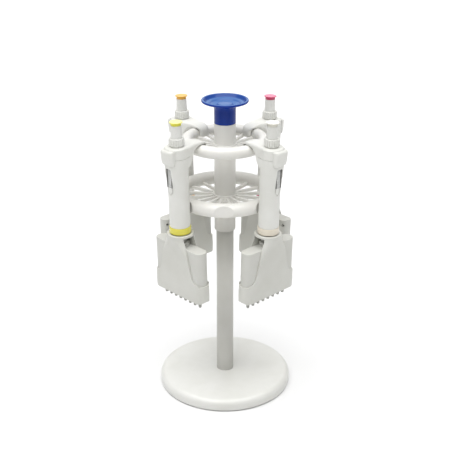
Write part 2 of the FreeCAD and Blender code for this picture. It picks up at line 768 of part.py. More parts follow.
def make_pipette(name, bearing):
    hang = Placement(Vector(number(size.hang_radius), 0, number(size.hang_height)),
                     Rotation(Vector(0, 1, 0), number(size.hang_tilt)))
    place = Placement(Vector(0, 0, 0), Rotation(Vector(0, 0, 1), bearing)).multiply(hang)
    for make in (make_handle, make_window, make_counter, make_dial, make_plunger, make_ejector_button,
                 make_collar_ring, make_manifold, make_cover, make_nozzles):
        make(name, place)


make_base()
make_post()
make_carousel_tube()
make_ring("lower_ring", size.lower_ring_radius, size.lower_ring_section, size.lower_ring_height,
          size.lower_ring_height - size.spoke_drop, True)
make_ring("upper_ring", size.upper_ring_radius, size.upper_ring_section, size.upper_ring_height,
          size.upper_spoke_height, False)
make_knob()
for colour, bearing in (("yellow", 225), ("orange", 135), ("pink", 45), ("cream", 315)):
    make_pipette(colour, bearing)
doc.recompute()

faults = [item.Name for item in doc.Objects if {"Invalid", "Error"} & set(item.State)]
faults += [body.Label for body in nodes if body.Shape.isNull() or not body.Shape.isValid()]
if faults:
    raise RuntimeError(f"not built: {faults}")
os.makedirs("parts", exist_ok=True)
for body in nodes:
    body.Shape.exportStep(f"parts/{body.Label}.step")
    print(f"{body.Label}: {len(body.Shape.Solids)} solids, {body.Shape.Volume / 1000:.2f} cm3")
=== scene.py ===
import bmesh
import bpy
import math
from mathutils import Matrix, Vector


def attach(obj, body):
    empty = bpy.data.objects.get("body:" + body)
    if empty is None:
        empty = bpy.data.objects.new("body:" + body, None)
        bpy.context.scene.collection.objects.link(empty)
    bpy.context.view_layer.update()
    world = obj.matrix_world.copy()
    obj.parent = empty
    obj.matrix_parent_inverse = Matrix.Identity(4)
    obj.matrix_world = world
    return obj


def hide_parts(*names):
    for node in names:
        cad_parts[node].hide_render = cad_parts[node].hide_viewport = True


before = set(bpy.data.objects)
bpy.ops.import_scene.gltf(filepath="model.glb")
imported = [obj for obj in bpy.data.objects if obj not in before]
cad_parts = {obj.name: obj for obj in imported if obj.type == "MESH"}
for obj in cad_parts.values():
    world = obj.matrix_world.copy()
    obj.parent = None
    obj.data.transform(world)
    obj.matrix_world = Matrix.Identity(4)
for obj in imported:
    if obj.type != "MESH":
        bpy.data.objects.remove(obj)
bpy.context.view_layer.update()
scene = bpy.context.scene
mm = 0.001
print("frame loaded:", len(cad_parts), "nodes")

# Lengths below are in millimetres and become metres when a mesh is made.
# A pipette is drawn upright: axis on Z, nozzle tips at 0, +X away from the post.

hanging = {"radius": 73.7, "height": 146.0, "tilt": 1.7}
bearings = {"yellow": 225, "orange": 135, "pink": 45, "cream": 315}


def pipettePlace(colour):
    turn = Matrix.Rotation(math.radians(bearings[colour]), 4, "Z")
    hang = Matrix.Translation((hanging["radius"] * mm, 0, hanging["height"] * mm))
    return turn @ hang @ Matrix.Rotation(math.radians(hanging["tilt"]), 4, "Y")


# outlines and meshes

def soften(corners, steps=6):
    # each corner is (x, y) or (x, y, radius); a radius turns it into an arc
    points = []
    for index, corner in enumerate(corners):
        here = Vector(corner[:2])
        if len(corner) < 3:
            points.append(tuple(here))
            continue
        before = Vector(corners[index - 1][:2]) - here
        after = Vector(corners[(index + 1) % len(corners)][:2]) - here
        half = before.angle(after) / 2
        reach = min(corner[2] / math.tan(half), before.length * 0.495, after.length * 0.495)
        size = reach * math.tan(half)
        before.normalize()
        after.normalize()
        centre = here + (before + after).normalized() * (size / math.sin(half))
        start = here + before * reach - centre
        end = here + after * reach - centre
        for step in range(steps + 1):
            share = step / steps
            spoke = start * math.cos(share * math.pi / 2) + end * math.sin(share * math.pi / 2)
            points.append(tuple(centre + spoke.normalized() * size))
    return points


def tidy(obj, sharp=32):
    work = bmesh.new()
    work.from_mesh(obj.data)
    bmesh.ops.remove_doubles(work, verts=work.verts, dist=0.004 * mm)
    bmesh.ops.dissolve_degenerate(work, edges=work.edges, dist=0.003 * mm)
    bmesh.ops.recalc_face_normals(work, faces=work.faces)
    work.to_mesh(obj.data)
    work.free()
    obj.data.shade_smooth()
    obj.data.set_sharp_from_angle(angle=math.radians(sharp))
    return obj


def meshFrom(name, points, faces):
    mesh = bpy.data.meshes.new(name)
    mesh.from_pydata([(x * mm, y * mm, z * mm) for x, y, z in points], [], faces)
    obj = bpy.data.objects.new(name, mesh)
    scene.collection.objects.link(obj)
    return tidy(obj)


def skin(name, loops, ends=True, around=False):
    # faces between loops of equal count; ends closes the first and last loop, around joins them
    points = [point for loop in loops for point in loop]
    count = len(loops[0])
    faces = []
    rows = len(loops)
    for row in range(rows if around else rows - 1):
        low = row * count
        high = (row + 1) % rows * count
        for step in range(count):
            following = (step + 1) % count
            faces.append((low + step, low + following, high + following, high + step))
    if ends and not around:
        faces.append(tuple(reversed(range(count))))
        faces.append(tuple(range((rows - 1) * count, rows * count)))
    return meshFrom(name, points, faces)


def lathe(name, corners, turns=96, steps=6):
    # spins a closed (radius, height) outline round Z
    loops = []
    for radius, height in soften(corners, steps):
        loops.append([(radius * math.cos(turn * 2 * math.pi / turns),
                       radius * math.sin(turn * 2 * math.pi / turns), height) for turn in range(turns)])
    return skin(name, loops, around=True)


def prism(name, corners, axis, low, high, steps=6):
    loops = []
    for level in (low, high):
        loop = []
        for a, b in soften(corners, steps):
            loop.append({"X": (level, a, b), "Y": (a, level, b), "Z": (a, b, level)}[axis])
        loops.append(loop)
    return skin(name, loops)


def roundLoop(halfX, halfY, radius, height, steps=8, shift=0):
    corners = [(halfX, -halfY, radius), (halfX, halfY, radius), (-halfX, halfY, radius),
               (-halfX, -halfY, radius)]
    return [(x + shift, y, height) for x, y in soften(corners, steps)]


def ringLoop(radius, height, shift=0, turns=72):
    return [(shift + radius * math.cos(turn * 2 * math.pi / turns),
             radius * math.sin(turn * 2 * math.pi / turns), height) for turn in range(turns)]


def glide(table, at):
    # smooth curve through a table of (place, value...) rows
    rows = sorted(table)
    if at <= rows[0][0]:
        return rows[0][1:]
    if at >= rows[-1][0]:
        return rows[-1][1:]
    index = max(i for i, row in enumerate(rows[:-1]) if row[0] <= at)
    here, following = rows[index], rows[index + 1]
    share = (at - here[0]) / (following[0] - here[0])
    values = []
    for column in range(1, len(here)):
        slopes = []
        for centre in (index, index + 1):
            left = rows[max(centre - 1, 0)]
            right = rows[min(centre + 1, len(rows) - 1)]
            slopes.append((right[column] - left[column]) / (right[0] - left[0]))
        span = following[0] - here[0]
        a, b = here[column], following[column]
        bend = share * share * (3 - 2 * share)
        values.append(a + (b - a) * bend + span * (slopes[0] * share * (1 - share) ** 2
                                                   - slopes[1] * share ** 2 * (1 - share)))
    return values


def stations(low, high, count):
    return [low + (high - low) * step / (count - 1) for step in range(count)]


def bake(obj, sharp=32):
    graph = bpy.context.evaluated_depsgraph_get()
    fresh = bpy.data.meshes.new_from_object(obj.evaluated_get(graph))
    stale = obj.data
    obj.modifiers.clear()
    obj.data = fresh
    bpy.data.meshes.remove(stale)
    return tidy(obj, sharp)


def combine(obj, others, kind="DIFFERENCE", sharp=32):
    for other in others:
        modifier = obj.modifiers.new(kind.lower(), "BOOLEAN")
        modifier.operation = kind
        modifier.solver = "EXACT"
        modifier.object = other
    bake(obj, sharp)
    for other in others:
        bpy.data.objects.remove(other)
    return obj


def join(obj, others):
    # puts the other meshes into obj as loose shells
    work = bmesh.new()
    for part in (obj, *others):
        work.from_mesh(part.data)
    work.to_mesh(obj.data)
    work.free()
    for other in others:
        bpy.data.objects.remove(other)
    return tidy(obj)


def melt(obj, grain, rounds):
    # one skin over overlapping shells, with soft corners
    modifier = obj.modifiers.new("melt", "REMESH")
    modifier.mode = "VOXEL"
    modifier.voxel_size = grain * mm
    modifier = obj.modifiers.new("ease", "SMOOTH")
    modifier.factor = 0.5
    modifier.iterations = rounds
    return bake(obj, 60)


def breakEdges(obj, width, angle=40, segments=2):
    modifier = obj.modifiers.new("edges", "BEVEL")
    modifier.width = width * mm
    modifier.segments = segments
    modifier.limit_method = "ANGLE"
    modifier.angle_limit = math.radians(angle)
    modifier.use_clamp_overlap = True
    return bake(obj)


# materials

def newMaterial(name, colour):
    material = bpy.data.materials.new(name)
    material.use_nodes = True
    material.diffuse_color = (*colour, 1)
    nodes = material.node_tree.nodes
    return material, nodes, material.node_tree.links, nodes["Principled BSDF"]


def noise(nodes, links, where, scale, detail=2.0, roughness=0.5):
    texture = nodes.new("ShaderNodeTexNoise")
    texture.inputs["Scale"].default_value = scale
    texture.inputs["Detail"].default_value = detail
    texture.inputs["Roughness"].default_value = roughness
    links.new(where, texture.inputs["Vector"])
    return texture.outputs["Fac"]


def mapTo(nodes, links, source, low, high, fromLow=0.3, fromHigh=0.7):
    node = nodes.new("ShaderNodeMapRange")
    node.inputs["From Min"].default_value = fromLow
    node.inputs["From Max"].default_value = fromHigh
    node.inputs["To Min"].default_value = low
    node.inputs["To Max"].default_value = high
    links.new(source, node.inputs["Value"])
    return node.outputs["Result"]


def mouldedPlastic(name, look):
    # slow clouds in the colour, a fine spark-eroded grain in the bump, patches of hand polish in the gloss
    colour = look["colour"]
    material, nodes, links, shader = newMaterial(name, colour)
    where = nodes.new("ShaderNodeTexCoord").outputs["Object"]
    clouds = noise(nodes, links, where, look.get("cloudScale", 38), 3)
    tint = nodes.new("ShaderNodeMix")
    tint.data_type = "RGBA"
    shade = look.get("shade", 0.94)
    warm = look.get("warm", 0.985)
    tint.inputs["A"].default_value = (*colour, 1)
    tint.inputs["B"].default_value = (colour[0] * shade, colour[1] * shade, colour[2] * shade * warm, 1)
    links.new(mapTo(nodes, links, clouds, 0, 1), tint.inputs["Factor"])
    links.new(tint.outputs["Result"], shader.inputs["Base Color"])
    if "paintedTopLight" in look:
        # painted highlight: paler on the faces that look up, standing in for the light they catch from above
        upright = nodes.new("ShaderNodeSeparateXYZ")
        links.new(nodes.new("ShaderNodeNewGeometry").outputs["Normal"], upright.inputs["Vector"])
        topLightMix = nodes.new("ShaderNodeMix")
        topLightMix.data_type = "RGBA"
        topLightMix.inputs["B"].default_value = (*look["paintedTopLight"], 1)
        links.new(tint.outputs["Result"], topLightMix.inputs["A"])
        links.new(mapTo(nodes, links, upright.outputs["Z"], 0, 1, 0.5, 0.97), topLightMix.inputs["Factor"])
        links.new(topLightMix.outputs["Result"], shader.inputs["Base Color"])
    polish = noise(nodes, links, where, look.get("polishScale", 120), 4, 0.6)
    rough = look["rough"]
    links.new(mapTo(nodes, links, polish, rough - 0.05, rough + 0.07), shader.inputs["Roughness"])
    grain = noise(nodes, links, where, look.get("grainScale", 1900), 2)
    bump = nodes.new("ShaderNodeBump")
    bump.inputs["Strength"].default_value = look.get("grain", 0.08)
    bump.inputs["Distance"].default_value = 0.00005
    links.new(grain, bump.inputs["Height"])
    links.new(bump.outputs["Normal"], shader.inputs["Normal"])
    shader.inputs["IOR"].default_value = 1.49
    shader.inputs["Specular IOR Level"].default_value = look.get("specular", 0.5)
    shader.inputs["Coat Weight"].default_value = look.get("coat", 0.0)
    shader.inputs["Coat Roughness"].default_value = 0.12
    return material


def brushedMetal(name, look):
    material, nodes, links, shader = newMaterial(name, look["colour"])
    where = nodes.new("ShaderNodeTexCoord").outputs["Object"]
    stretch = nodes.new("ShaderNodeMapping")
    stretch.inputs["Scale"].default_value = look["stretch"]
    links.new(where, stretch.inputs["Vector"])
    lines = noise(nodes, links, stretch.outputs["Vector"], look["lineScale"], 4, 0.7)
    tint = nodes.new("ShaderNodeMix")
    tint.data_type = "RGBA"
    tint.inputs["A"].default_value = (*look["colour"], 1)
    tint.inputs["B"].default_value = (*[c * 0.7 for c in look["colour"]], 1)
    links.new(mapTo(nodes, links, lines, 0, 1), tint.inputs["Factor"])
    links.new(tint.outputs["Result"], shader.inputs["Base Color"])
    links.new(mapTo(nodes, links, lines, look["rough"] - 0.08, look["rough"] + 0.12),
              shader.inputs["Roughness"])
    shader.inputs["Metallic"].default_value = 1.0
    return material


def clearPlastic(name, look):
    material, nodes, links, shader = newMaterial(name, look["colour"])
    where = nodes.new("ShaderNodeTexCoord").outputs["Object"]
    haze = noise(nodes, links, where, 260, 4, 0.6)
    tint = nodes.new("ShaderNodeMix")
    tint.data_type = "RGBA"
    tint.inputs["A"].default_value = (*look["colour"], 1)
    tint.inputs["B"].default_value = (*[c * 0.93 for c in look["colour"]], 1)
    links.new(mapTo(nodes, links, haze, 0, 1), tint.inputs["Factor"])
    links.new(tint.outputs["Result"], shader.inputs["Base Color"])
    links.new(mapTo(nodes, links, haze, 0.05, 0.16), shader.inputs["Roughness"])
    shader.inputs["Alpha"].default_value = look["alpha"]
    shader.inputs["IOR"].default_value = 1.58
    return material


finishes = {
    "standWhite": {"colour": (0.74, 0.74, 0.71), "rough": 0.34, "grain": 0.05, "coat": 0.12},
    # post: a darker white than the stand, painted shade for the shadow the rings cast on the post
    "postShadedWhite": {"colour": (0.58, 0.575, 0.54), "rough": 0.36, "grain": 0.10, "grainScale": 900},
    "ringWhite": {"colour": (0.77, 0.76, 0.725), "rough": 0.36, "grain": 0.05, "coat": 0.10},
    "handleWhite": {"colour": (0.735, 0.735, 0.70), "rough": 0.42, "grain": 0.12},
    # block: the handle's white plastic made darker, painted shade for the shade the block sits in
    "blockShadedWhite": {"colour": (0.58, 0.58, 0.545), "rough": 0.42, "grain": 0.12},
    "coverWhite": {"colour": (0.62, 0.62, 0.58), "rough": 0.44, "grain": 0.12},
    "stemWhite": {"colour": (0.72, 0.72, 0.69), "rough": 0.30, "grain": 0.04},
    # knob: a paler blue painted on its upward faces as a highlight
    "knobBlue": {"colour": (0.001, 0.030, 0.27), "rough": 0.2, "grain": 0.02, "warm": 1.0, "specular": 0.22,
                 "paintedTopLight": (0.075, 0.165, 0.40)},
    "nozzleGrey": {"colour": (0.40, 0.40, 0.375), "rough": 0.38, "grain": 0.05},
    # near black, painted shadow for the dark line round the window
    "shadeFrameDark": {"colour": (0.075, 0.072, 0.066), "rough": 0.6, "grain": 0.1, "warm": 1.0},
    "drumWhite": {"colour": (0.70, 0.70, 0.68), "rough": 0.40, "grain": 0.05},
    "nylon": {"colour": (0.76, 0.75, 0.70), "rough": 0.45, "grain": 0.05},
    "footRubber": {"colour": (0.035, 0.035, 0.036), "rough": 0.75, "grain": 0.3, "warm": 1.0},
    "castGrey": {"colour": (0.10, 0.10, 0.105), "rough": 0.72, "grain": 0.6, "grainScale": 700},
    "yellowBand": {"colour": (0.74, 0.67, 0.085), "rough": 0.32, "grain": 0.04, "coat": 0.15, "warm": 0.9},
    "orangeBand": {"colour": (0.84, 0.42, 0.05), "rough": 0.32, "grain": 0.04, "coat": 0.15, "warm": 0.9},
    "pinkBand": {"colour": (0.78, 0.06, 0.18), "rough": 0.32, "grain": 0.04, "coat": 0.15, "warm": 1.0},
    "creamBand": {"colour": (0.74, 0.68, 0.57), "rough": 0.34, "grain": 0.04, "coat": 0.10},
    # caps: a paler colour painted on their upward faces as a highlight
    "yellowCap": {"colour": (0.76, 0.72, 0.07), "rough": 0.28, "grain": 0.03, "paintedTopLight": (0.82, 0.80, 0.36)},
    "orangeCap": {"colour": (0.80, 0.42, 0.05), "rough": 0.28, "grain": 0.03, "paintedTopLight": (0.80, 0.50, 0.13)},
    "pinkCap": {"colour": (0.62, 0.05, 0.14), "rough": 0.28, "grain": 0.03, "paintedTopLight": (0.80, 0.24, 0.36)},
    "creamCap": {"colour": (0.76, 0.74, 0.66), "rough": 0.28, "grain": 0.03, "paintedTopLight": (0.84, 0.84, 0.80)},
}
paints = {name: mouldedPlastic(name, look) for name, look in finishes.items()}
paints["steel"] = brushedMetal("steel", {"colour": (0.55, 0.55, 0.56), "rough": 0.28, "lineScale": 400,
                                         "stretch": (1, 1, 0.15)})
paints["lens"] = clearPlastic("lens", {"colour": (0.86, 0.87, 0.85), "alpha": 0.5})
print("materials made:", len(paints))


def coat(obj, paint):
    obj.data.materials.clear()
    obj.data.materials.append(paints[paint])
    return obj


def standPiece(obj, paint, body, slot, *nodes):
    coat(obj, paint)
    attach(obj, body)
    if nodes:
        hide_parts(*nodes)
    return obj


# stand

base = {"radius": 87.4, "low": 1.0, "high": 16.0, "wall": 3.0, "hole": 11.2, "topRound": 7.5,
        "lowRound": 1.6, "turns": 180}


def makeBase():
    inside = base["radius"] - base["wall"]
    ceiling = base["high"] - base["wall"]
    cover = lathe("base_cover_shell", [
        (base["hole"], base["high"]), (base["radius"], base["high"], base["topRound"]),
        (base["radius"], base["low"], base["lowRound"]), (inside, base["low"], 0.4),
        (inside, ceiling), (base["hole"], ceiling)], base["turns"], 10)
    standPiece(cover, "standWhite", "stand", "stand_white", "base_cover")


post = {"radius": 11.15, "inside": 9.35, "low": 13.0, "high": 352.0}
tube = {"radius": 13.5, "inside": 11.75, "low": 223.5, "high": 362.5}
bush = {"bore": 11.2, "flange": 1.5, "sleeve": 20.0, "gap": 0.03, "slip": 0.02}


def makePostAndTube():
    column = lathe("post_tube", [(post["inside"], post["low"]), (post["radius"], post["low"]),
                                 (post["radius"], post["high"], 0.4), (post["inside"], post["high"])])
    # painted shade: the post takes a darker white than the stand
    standPiece(column, "postShadedWhite", "stand", "post_white", "post")
    sleeve = lathe("carousel_tube_skin", [
        (tube["inside"], tube["low"]), (tube["radius"], tube["low"], 0.15),
        (tube["radius"], tube["high"], 0.15), (tube["inside"], tube["high"])])
    standPiece(sleeve, "ringWhite", "carousel", "stand_white", "carousel_tube")
    bushes = []
    for name, out, edge, reach in (("lower", -1, tube["low"], 1.1), ("upper", 1, tube["high"], 0.15)):
        end = edge + out * bush["flange"]
        seat = edge + out * bush["gap"]
        tail = edge - out * bush["sleeve"]
        outside = tube["inside"] - bush["slip"]
        bushes.append(lathe(f"bush_{name}", [
            (bush["bore"], end, 0.3), (tube["radius"], end, reach), (tube["radius"], seat, 0.1),
            (outside, seat), (outside, tail), (bush["bore"], tail)]))
    standPiece(join(bushes[0], bushes[1:]), "ringWhite", "carousel", "nylon", "carousel_bushes")


rings = {
    "lower_ring": {"radius": 58.7, "section": 8.8, "height": 270.5, "spokes": 267.6, "rise": 0.0,
                   "notches": 8, "notchRadius": 24.0, "notchReach": 63.4},
    "upper_ring": {"radius": 48.0, "section": 7.5, "height": 340.3, "spokes": 334.0, "rise": 3.5,
                   "notches": 0},
}
spoke = {"count": 16, "width": 4.0, "depth": 4.4, "foot": 0.6, "hub": 15.3, "hubDepth": 8.0, "hole": 13.52}
hoopSteps = {"turns": 144, "around": 36}


def makeRing(name, size):
    turns = hoopSteps["turns"]
    loops = []
    for turn in range(turns):
        bearing = turn * 2 * math.pi / turns
        loop = []
        for step in range(hoopSteps["around"]):
            angle = step * 2 * math.pi / hoopSteps["around"]
            reach = size["radius"] + size["section"] * math.cos(angle)
            loop.append((reach * math.cos(bearing), reach * math.sin(bearing),
                         size["height"] + size["section"] * math.sin(angle)))
        loops.append(loop)
    hoop = skin(name + "_hoop", loops, around=True)
    low = size["spokes"] - spoke["depth"] / 2
    high = size["spokes"] + spoke["depth"] / 2
    half = spoke["width"] / 2
    parts = []
    for index in range(spoke["count"]):
        bearing = (index + 0.5) * 2 * math.pi / spoke["count"]
        # each spoke is a fin, thinner at its lower edge and a little wider where it meets the hoop
        start = spoke["hole"] + 0.8
        bend = size["radius"] - size["section"] - 4
        end = size["radius"] - size["section"] * 0.4
        loops = []
        for reach, grow, rise in ((start, 1.0, 0), (bend, 1.0, 0.7), (end, 1.4, 1.0)):
            loop = []
            lift = rise * size["rise"]
            wide = half * grow
            thin = wide * spoke["foot"]
            for side, level in soften([(wide, high, 0.6), (-wide, high, 0.6),
                                       (-thin, low, 0.6), (thin, low, 0.6)], 3):
                loop.append((reach * math.cos(bearing) - side * math.sin(bearing),
                             reach * math.sin(bearing) + side * math.cos(bearing), level + lift))
            loops.append(loop)
        parts.append(skin(f"{name}_spoke", loops))
    reachHub = spoke["hubDepth"] / 2
    parts.append(lathe(f"{name}_hub", [
        (spoke["hole"], size["spokes"] - reachHub), (spoke["hub"], size["spokes"] - reachHub, 0.8),
        (spoke["hub"], size["spokes"] + reachHub, 0.8), (spoke["hole"], size["spokes"] + reachHub)]))
    combine(hoop, parts, "UNION")
    middle = size["height"]
    bore = lathe("bore", [(0, middle - 30), (spoke["hole"], middle - 30),
                          (spoke["hole"], middle + 30), (0, middle + 30)])
    cutters = [bore]
    for index in range(size["notches"]):
        bearing = index * 2 * math.pi / size["notches"]
        centre = size["notchReach"] + size["notchRadius"]
        cutter = lathe("notch", [(0, middle - 12), (size["notchRadius"], middle - 12),
                                 (size["notchRadius"], middle + 12), (0, middle + 12)], 160)
        cutter.location = (centre * math.cos(bearing) * mm, centre * math.sin(bearing) * mm, 0)
        cutters.append(cutter)
    bpy.context.view_layer.update()
    combine(hoop, cutters, sharp=40)
    standPiece(hoop, "ringWhite", "carousel", "stand_white", name)


knob = {"stem": 13.5, "low": 364.0, "rim": 29.3, "top": 394.0, "dome": 10.8}


def makeKnob():
    top = knob["top"]
    shape = lathe("knob_dish", [
        (0, 358.05), (11.05, 358.05), (11.05, knob["low"] + 0.02), (knob["stem"], knob["low"] + 0.02, 0.4),
        (knob["stem"], 385.0, 13.0), (20.0, 389.3, 9.0), (knob["rim"], 391.2, 1.2), (knob["rim"], top, 1.3),
        (knob["rim"] - 2.6, top, 1.2), (23.0, top - 4.6, 8.0), (knob["dome"] + 3.4, top - 7.2, 4.0),
        (knob["dome"], top - 7.4, 0.8), (knob["dome"] - 2.2, top - 5.2, 2.4), (0, top - 4.7)], 128, 8)
    standPiece(shape, "knobBlue", "carousel", "knob_blue", "knob")


makeBase()
makePostAndTube()
for ringName, ringSize in rings.items():
    makeRing(ringName, ringSize)
makeKnob()
print("stand made")

# pipette: one of each piece is made, then hung in the four places

def hangFour(pattern, title, paint, body, slot, *nodes):
    # the Band and Cap paints have their own colour in each place
    for colour in bearings:
        mesh = pattern.data.copy()
        mesh.transform(pipettePlace(colour))
        piece = bpy.data.objects.new(f"{colour}_{title}", mesh)
        scene.collection.objects.link(piece)
        coat(piece, paint if paint in paints else colour + paint)
        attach(piece, f"{colour}_{body}")
        if nodes:
            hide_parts(*[f"{colour}_{node}" for node in nodes])
    bpy.data.objects.remove(pattern)


handle = {
    "barrel": [(103, 12.85, 0.0), (128, 12.85, 0.0), (147, 12.85, 0.0), (160, 13.35, 0.5), (174, 14.15, 1.3),
               (186, 14.5, 1.6), (207, 14.5, 1.6)],
    "low": 103.0, "top": 206.5, "topRound": 1.5,
    "hookTop": [(-44, 196.5), (-43.4, 199), (-42.3, 200.9), (-40.5, 202.5), (-37.5, 203.9), (-33, 205.1),
                (-27, 205.9), (-20, 206.3), (-8, 206.4), (2, 206.4)],
    "hookHalf": [(-43.9, 4.6), (-42.5, 6.2), (-40, 7.6), (-35, 9.0), (-27, 9.8), (-19, 10.9), (-11, 12.6),
                 (-4, 13.6), (2, 13.6)],
    "hookUnder": [(-39.4, 199.9), (-37.6, 201.0), (-34, 201.4), (-27.5, 201.3), (-22.8, 199.9),
                  (-18.8, 196.8), (-15.6, 192.2), (-12.8, 185.6), (-8, 180)],
    "hookRange": (2, -43.8), "lipInner": -41.0, "lipRound": 1.4, "lipLow": 190.9,
    "window": {"half": 4.5, "low": 156.5, "high": 181.5, "floor": 12.3, "catch": 145.6, "round": 2.2},
}


def windowOutline(aside, ends):
    window = handle["window"]
    half = window["half"] - aside
    low, high = window["low"] + ends, window["high"] - ends
    bend = window["round"] - aside
    return [(-half, low, bend * 0.6), (half, low, bend * 0.6), (half, high, bend), (-half, high, bend)]


def makeHandle():
    loops = []
    for height in stations(handle["low"], handle["top"], 70):
        radius, shift = glide(handle["barrel"], height)
        left = handle["top"] - height
        if left < handle["topRound"]:
            share = 1 - left / handle["topRound"]
            radius -= handle["topRound"] * (1 - math.sqrt(max(0, 1 - share * share))) * 0.95
        loops.append(ringLoop(radius, height, shift))
    barrel = skin("handle_shell", loops)
    # arm of the hook, as upright slices from the head to the beak
    slices = []
    for x in stations(*handle["hookRange"], 60):
        top = glide(handle["hookTop"], x)[0]
        half = glide(handle["hookHalf"], x)[0]
        under = glide(handle["hookUnder"], x)[0]
        inward = handle["lipInner"] + handle["lipRound"] - x
        if inward > 0:
            share = min(1, inward / handle["lipRound"])
            under = under + (handle["lipLow"] - under) * share * share
        edge = min(half * 0.9, (top - under) * 0.47, 2.8)
        slices.append([(x, y, z) for y, z in soften([(half, under, edge * 0.6), (half, top, edge),
                                                     (-half, top, edge), (-half, under, edge * 0.6)], 6)])
    arm = skin("hook_arm", slices)
    melt(join(barrel, [arm]), 0.5, 5)
    window = handle["window"]
    half = window["half"]
    cutters = [
        # everything that runs inside
        lathe("inside", [(0, 94), (10.6, 94), (10.6, 118), (8.06, 118), (8.06, 124), (11.3, 124),
                         (11.3, 130), (2.87, 130), (2.87, 133), (11.3, 133), (11.3, 200), (8.06, 200),
                         (8.06, 208), (0, 208)], 72),
        prism("recess", windowOutline(0, 0), "X", window["floor"], 20),
        prism("opening", windowOutline(1.0, 1.4), "X", 8, 14),
        prism("slot", [(8, 187.6), (20, 187.6), (20, 199.6), (8, 199.6)], "Y", -3.5, 3.5),
    ]
    for cutter in cutters:
        combine(barrel, [cutter], sharp=38)
    # groove round the catch below the window, and the seam under the head
    low, high = window["catch"], window["low"] + 1.2
    groove = [(-half, high), (-half, low + 5.4, 1.6), (0, low, 1.2), (half, low + 5.4, 1.6), (half, high),
              (half - 1.1, high), (half - 1.1, low + 5.7, 1.2), (0, low + 1.6, 0.9),
              (-half + 1.1, low + 5.7, 1.2), (-half + 1.1, high)]
    around = lathe("around", [(11.9, low - 3), (18, low - 3), (18, high + 3), (11.9, high + 3)], 120)
    combine(barrel, [combine(prism("catch_groove", groove, "X", 8, 20), [around], "INTERSECT")], sharp=38)
    seam = lathe("seam", [(13.95, 193.0), (17, 193.0), (17, 193.45), (13.95, 193.45)], 96)
    seam.location = (1.6 * mm, 0, 0)
    keep = prism("seam_side", [(-16, 190), (12.2, 190), (12.2, 196), (-16, 196)], "Y", -18, 18)
    bpy.context.view_layer.update()
    combine(seam, [keep], "INTERSECT")
    combine(barrel, [seam], sharp=38)
    spigot = lathe("spigot", [(10.6, 95.2), (11.98, 95.2, 0.3), (11.98, 105), (10.6, 105)], 72)
    join(barrel, [spigot])
    barrel.data.set_sharp_from_angle(angle=math.radians(38))
    hangFour(barrel, "handle_shell", "handleWhite", "pipette", "pipette_white", "handle")


def makeWindow():
    floor = handle["window"]["floor"] + 0.03
    lens = prism("lens", windowOutline(0.15, 0.15), "X", floor, floor + 1.05)
    breakEdges(lens, 0.25)
    hangFour(lens, "window_lens", "lens", "pipette", "window_clear", "window")
    # dark frame round the lens: painted shadow for the shade line at the window's edge
    shade_frame = prism("shade_frame", windowOutline(0.05, 0.05), "X", floor + 1.08, floor + 1.5)
    combine(shade_frame, [prism("sight", windowOutline(1.2, -3), "X", floor, floor + 3)])
    hangFour(shade_frame, "window_shade_frame", "shadeFrameDark", "pipette", "counter_dark")


drum = {"low": 161.0, "ring": 5.0, "groove": 0.5, "radius": 8.4, "hole": 2.9}


def makeDrum():
    corners = [(drum["hole"], drum["low"])]
    step = drum["ring"] + drum["groove"]
    for index in range(3):
        low = drum["low"] + index * step
        corners += [(drum["radius"], low, 0.25), (drum["radius"], low + drum["ring"], 0.25)]
        if index < 2:
            corners += [(drum["radius"] - 1.2, low + drum["ring"]), (drum["radius"] - 1.2, low + step)]
    corners.append((drum["hole"], drum["low"] + 2 * step + drum["ring"]))
    hangFour(lathe("drum", corners, 72, 3), "number_drum", "drumWhite", "counter", "counter_dark",
             "counter_drum")


dial = {"radius": 9.5, "low": 207.0, "high": 217.0, "ribs": 20, "depth": 1.0, "bore": 7.0, "sleeve": 8.0,
        "tail": 180.0}


def makeDial():
    profile = (1, 1, 1, 0.8, 0, 0, 0.8, 1)      # one rib and its groove
    count = dial["ribs"] * len(profile)
    levels = [(dial["low"], -1.1, 0), (dial["low"] + 0.15, -0.75, 0), (dial["low"] + 1.0, -0.55, 0.1),
              (dial["low"] + 1.5, 0, 1), (dial["high"] - 1.7, 0, 1), (dial["high"] - 1.1, -0.3, 0.2),
              (dial["high"] - 0.5, -0.45, 0), (dial["high"] - 0.1, -0.85, 0), (dial["high"], -1.3, 0)]
    loops = []
    for height, inset, rib in levels:
        loop = []
        for step in range(count):
            angle = step * 2 * math.pi / count
            wave = profile[step % len(profile)]
            radius = dial["radius"] + inset - dial["depth"] * rib * (1 - wave)
            loop.append((radius * math.cos(angle), radius * math.sin(angle), height))
        loops.append(loop)
    for radius, height in ((dial["bore"], dial["high"]), (dial["bore"], dial["tail"]),
                           (dial["sleeve"], dial["tail"]), (dial["sleeve"], dial["low"])):
        loops.append(ringLoop(radius, height, turns=count))
    hangFour(skin("dial", loops, around=True), "volume_dial_grip", "handleWhite", "volume_dial",
             "pipette_white", "dial")


stem = {"low": 207.0, "high": 232.4, "lowRadius": 6.9, "highRadius": 6.6}
rod = {"radius": 2.5, "head": 6.0, "headLow": 57.0, "headHigh": 60.0, "collar": 5.2, "collarLow": 156.9,
       "collarHigh": 158.5, "tenon": 5.05, "tenonHeight": 2.4}
button = {"flange": 8.0, "top": 236.8, "skirt": 6.3}


